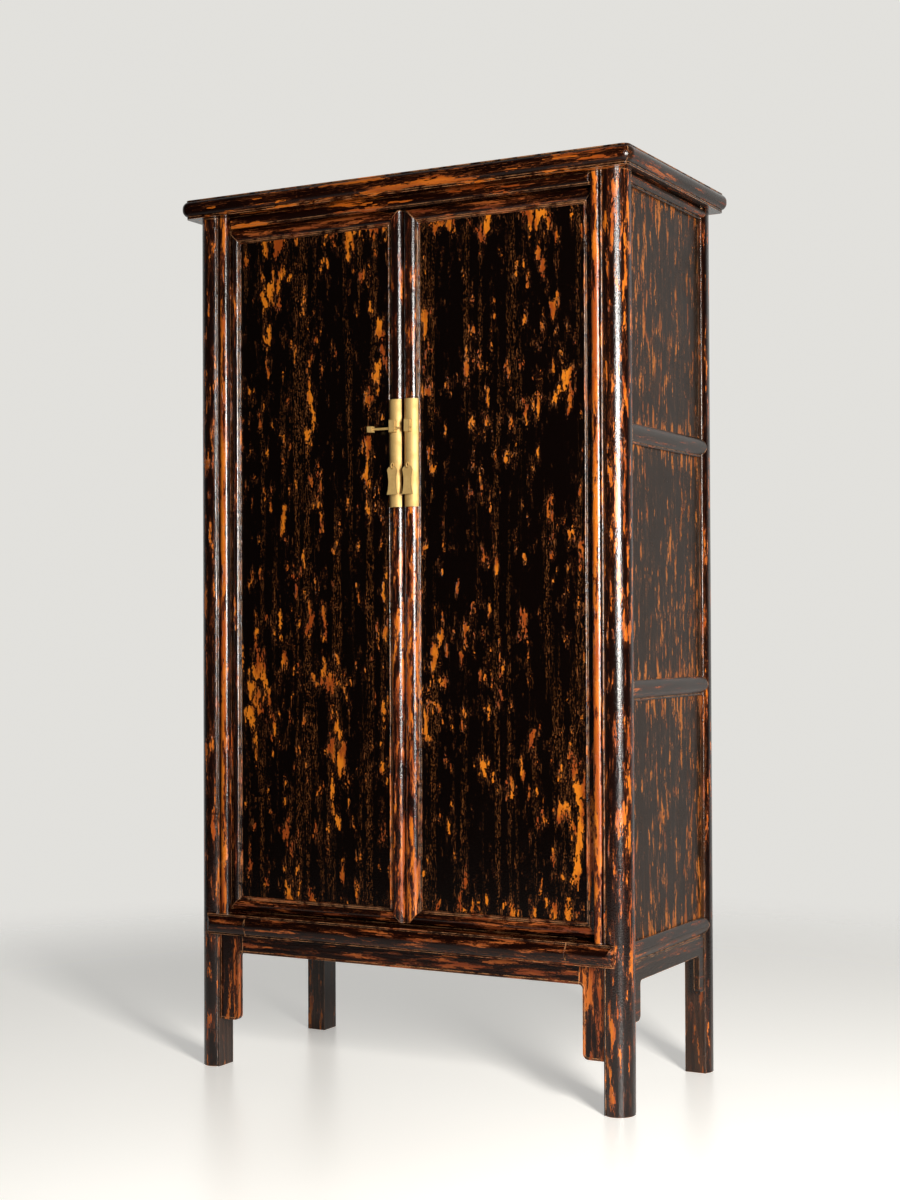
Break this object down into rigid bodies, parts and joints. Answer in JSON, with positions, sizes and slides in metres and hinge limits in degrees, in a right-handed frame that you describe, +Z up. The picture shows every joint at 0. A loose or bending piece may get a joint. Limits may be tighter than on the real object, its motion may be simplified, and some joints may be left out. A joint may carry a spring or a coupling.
{
  "type": "wardrobe",
  "caption": "Tall lacquered wardrobe on rounded posts with an overhanging bullnosed cap, doors that turn on wooden pivots, shelves inside and a brass pin lock with hanging pulls.",
  "frame": {"origin": "on the floor, under the middle of the cap", "axes": "+X to the cabinet's right as seen from the front, +Y to its back, +Z up"},
  "size_m": [1.05, 0.534, 1.85],
  "materials": {
    "lacquer_frame": "gloss black lacquer worn through to orange on edges and beads",
    "lacquer_panel": "gloss black lacquer flaked to orange along the grain",
    "inner_wood": "dark stained satin wood",
    "brass": "satin brushed"
  },
  "bodies": {
    "carcass": {"apron_front": "lacquer_frame", "apron_left": "lacquer_frame", "apron_right": "lacquer_frame", "back_panel_high": "inner_wood", "back_panel_low": "inner_wood", "back_rail": "inner_wood", "bracket_left": "lacquer_frame", "bracket_right": "lacquer_frame", "cap_back": "lacquer_frame", "cap_front": "lacquer_frame", "cap_left": "lacquer_frame", "cap_panel": "lacquer_panel", "cap_right": "lacquer_frame", "cross_rail_high_left": "lacquer_frame", "cross_rail_high_right": "lacquer_frame", "cross_rail_low_left": "lacquer_frame", "cross_rail_low_right": "lacquer_frame", "floor_board": "inner_wood", "head_rail_back": "inner_wood", "head_rail_front": "lacquer_frame", "head_rail_left": "lacquer_frame", "head_rail_right": "lacquer_frame", "pivot_block_left": "lacquer_frame", "pivot_block_right": "lacquer_frame", "post_back_left": "lacquer_frame", "post_back_right": "lacquer_frame", "post_front_left": "lacquer_frame", "post_front_right": "lacquer_frame", "shelf_high": "inner_wood", "shelf_low": "inner_wood", "side_panel_high_left": "lacquer_panel", "side_panel_high_right": "lacquer_panel", "side_panel_low_left": "lacquer_panel", "side_panel_low_right": "lacquer_panel", "side_panel_mid_left": "lacquer_panel", "side_panel_mid_right": "lacquer_panel", "sill_back": "inner_wood", "sill_front": "lacquer_frame", "sill_left": "lacquer_frame", "sill_right": "lacquer_frame"},
    "left_door": {"door_pivot_stile_left": "lacquer_frame", "door_meeting_stile_left": "lacquer_frame", "door_top_rail_left": "lacquer_frame", "door_bottom_rail_left": "lacquer_frame", "door_panel_left": "lacquer_panel", "door_batten_left": "inner_wood", "lock_plate_left": "brass", "pull_ring_left": "brass"},
    "left_pull": {"pull_left": "brass"},
    "right_door": {"door_pivot_stile_right": "lacquer_frame", "door_meeting_stile_right": "lacquer_frame", "door_top_rail_right": "lacquer_frame", "door_bottom_rail_right": "lacquer_frame", "door_panel_right": "lacquer_panel", "door_batten_right": "inner_wood", "lock_plate_right": "brass", "pull_ring_right": "brass"},
    "right_pull": {"pull_right": "brass"},
    "lock_pin": {"lock_pin": "brass"}
  },
  "joints": [
    {"name": "left_door_hinge", "type": "hinge", "parent": "carcass", "child": "left_door", "pos_m": [-0.4354, -0.223, 0.326], "axis": [0, 0, -1], "range_deg": [0, 110]},
    {"name": "right_door_hinge", "type": "hinge", "parent": "carcass", "child": "right_door", "pos_m": [0.4354, -0.223, 0.326], "axis": [0, 0, 1], "range_deg": [0, 110]},
    {"name": "left_pull_swing", "type": "hinge", "parent": "left_door", "child": "left_pull", "pos_m": [-0.01775, -0.2305, 1.262], "axis": [-1, 0, 0], "range_deg": [0, 80]},
    {"name": "right_pull_swing", "type": "hinge", "parent": "right_door", "child": "right_pull", "pos_m": [0.01775, -0.2305, 1.262], "axis": [-1, 0, 0], "range_deg": [0, 80]},
    {"name": "lock_pin_slide", "type": "slide", "parent": "left_door", "child": "lock_pin", "axis": [1, 0, 0], "range_m": [0, 0.039]}
  ]
}
